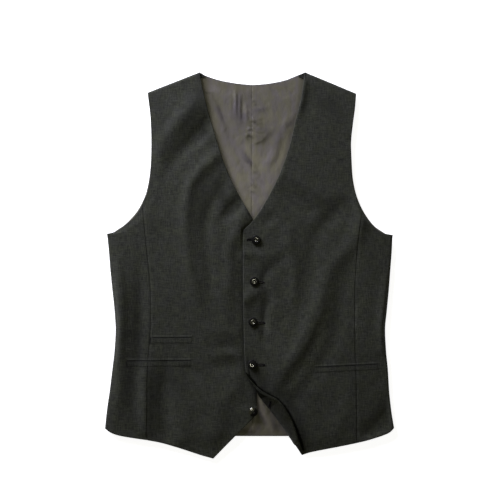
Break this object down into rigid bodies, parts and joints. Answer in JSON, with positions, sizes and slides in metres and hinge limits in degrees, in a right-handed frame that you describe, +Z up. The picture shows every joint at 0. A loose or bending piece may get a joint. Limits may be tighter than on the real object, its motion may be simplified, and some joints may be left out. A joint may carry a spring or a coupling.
{
  "type": "suit waistcoat",
  "caption": "Men's suit waistcoat laid flat face up: wool fronts lapped left over right and buttoned, V neck, welt pockets, satin back lining, lower front corner turned back.",
  "frame": {"origin": "centre of the garment's length and width, on the surface it lies on", "axes": "+X towards the wearer's left, +Y towards the neck, +Z up from the surface, out of the fronts"},
  "size_m": [0.4804, 0.642, 0.0334],
  "materials": {
    "wool": "dark charcoal worsted wool with a fine tonal check, matte",
    "lining_satin": "taupe satin lining with a soft sheen",
    "back_cloth": "near-black satin back",
    "button": "black, polished, four holes",
    "thread": "black button thread, matte"
  },
  "bodies": {
    "root": {"back_outer_right": "back_cloth", "back_outer_left": "back_cloth", "back_lining_right": "lining_satin", "back_lining_left": "lining_satin", "front_right_main": "wool", "front_right_side": "wool", "front_left_main": "wool", "front_left_side": "wool", "front_left_facing": "wool", "strap_end_right": "wool", "strap_end_left": "wool", "welt_ticket": "wool", "welt_lower_right": "wool", "welt_lower_left": "wool", "button_1": "button", "button_2": "button", "button_3": "button", "button_4": "button", "button_5": "button", "shank_1": "thread", "shank_2": "thread", "shank_3": "thread", "shank_4": "thread", "shank_5": "thread"}
  },
  "joints": []
}
